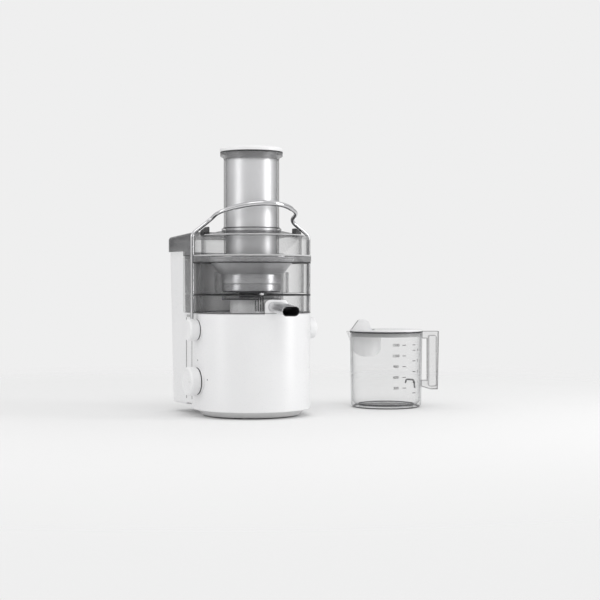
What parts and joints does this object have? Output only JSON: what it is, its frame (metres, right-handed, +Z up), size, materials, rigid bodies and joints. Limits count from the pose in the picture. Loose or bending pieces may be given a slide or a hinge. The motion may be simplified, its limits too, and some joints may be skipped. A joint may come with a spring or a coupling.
{
  "type": "centrifugal juicer",
  "caption": "Upright centrifugal juicer with wide feed tube and pusher, locking bail, steel spout, pulp container behind, and a clear lidded juice jug standing beside it.",
  "frame": {"origin": "on the table, on the vertical axis of the motor, basket and feed tube", "axes": "+Z up, -Y to the front where the spout points, -X towards the speed dial, +X towards the jug"},
  "size_m": [0.4907, 0.302, 0.4535],
  "materials": {
    "white_gloss": "gloss white",
    "white_matte": "fine matte white",
    "smoke_clear": "smoke-grey transparent plastic",
    "clear": "clear transparent plastic",
    "dark_grey": "dark grey",
    "black_plastic": "matte black",
    "polished_steel": "polished stainless steel",
    "satin_steel": "satin stainless steel",
    "mesh_steel": "perforated stainless steel",
    "silver_plastic": "silver plastic",
    "rubber": "black rubber",
    "seal_rubber": "dark grey silicone",
    "cast_alloy": "cast aluminium",
    "lamination": "varnished steel laminations",
    "copper": "enamelled copper",
    "brass": "brass",
    "graphite": "pressed carbon",
    "board": "circuit board",
    "screw_steel": "zinc-plated steel"
  },
  "bodies": {
    "base": {"motor_housing": "white_gloss", "rear_cover": "white_gloss", "base_cover": "white_matte", "rubber_feet": "rubber", "base_screws": "screw_steel", "cord_gland": "rubber", "shaft_seal": "rubber", "pivot_bushes": "black_plastic", "upper_bracket": "cast_alloy", "lower_bracket": "cast_alloy", "upper_bearing": "screw_steel", "lower_bearing": "screw_steel", "motor_stator": "lamination", "field_coils": "copper", "motor_bolts": "screw_steel", "vibration_mounts": "rubber", "mount_screws": "screw_steel", "brush_holders": "brass", "carbon_brushes": "graphite", "control_board": "board", "rotary_switch": "black_plastic", "interlock_switch": "black_plastic", "juice_bowl": "smoke_clear", "bowl_seal": "seal_rubber", "spout": "polished_steel"},
    "rotor": {"motor_shaft": "screw_steel", "armature_core": "lamination", "armature_windings": "copper", "commutator": "copper", "cooling_fan": "black_plastic", "drive_coupling": "black_plastic", "basket_hub": "dark_grey", "basket_cup": "satin_steel", "filter_cone": "mesh_steel", "basket_rim": "polished_steel", "grating_disc": "satin_steel"},
    "bail": {"bail_rod": "polished_steel", "bail_grip": "polished_steel", "pivot_caps": "white_gloss", "pivot_pins": "screw_steel", "pivot_circlips": "screw_steel"},
    "dial": {"speed_dial": "white_gloss", "dial_shaft": "black_plastic"},
    "lid": {"lid": "smoke_clear", "lid_seal": "seal_rubber", "lid_lugs": "dark_grey", "feed_tube": "smoke_clear"},
    "pusher": {"pusher_barrel": "silver_plastic", "pusher_cap": "white_gloss"},
    "container": {"pulp_container": "white_gloss"},
    "jug": {"jug": "clear", "jug_handle": "clear"},
    "jug_lid": {"jug_lid": "white_gloss", "froth_separator": "white_gloss"}
  },
  "joints": [
    {"name": "motor_spin", "type": "hinge", "parent": "base", "child": "rotor", "pos_m": [0, 0, 0.15], "axis": [0, 0, 1], "continuous": true},
    {"name": "bail_swing", "type": "hinge", "parent": "base", "child": "bail", "pos_m": [0, 0, 0.1465], "axis": [1, 0, 0], "range_deg": [0, 100]},
    {"name": "dial_turn", "type": "hinge", "parent": "base", "child": "dial", "pos_m": [-0.11, 0, 0.0606], "axis": [-1, 0, 0], "range_deg": [-75, 75]},
    {"name": "lid_lift", "type": "slide", "parent": "base", "child": "lid", "axis": [0, 0, 1], "range_m": [0, 0.0451]},
    {"name": "pusher_slide", "type": "slide", "parent": "lid", "child": "pusher", "axis": [0, 0, 1], "range_m": [0, 0.19]},
    {"name": "container_pull", "type": "slide", "parent": "base", "child": "container", "axis": [0, 1, 0], "range_m": [0, 0.12]},
    {"name": "jug_lift", "type": "slide", "parent": "base", "child": "jug", "axis": [0, 0, 1], "range_m": [0, 0.2]},
    {"name": "jug_lid_lift", "type": "slide", "parent": "jug", "child": "jug_lid", "axis": [0, 0, 1], "range_m": [0, 0.08]}
  ],
  "couplings": [
    {"joint": "lid_lift", "follows": "bail_swing", "m_per_rad": 0.025783}
  ]
}
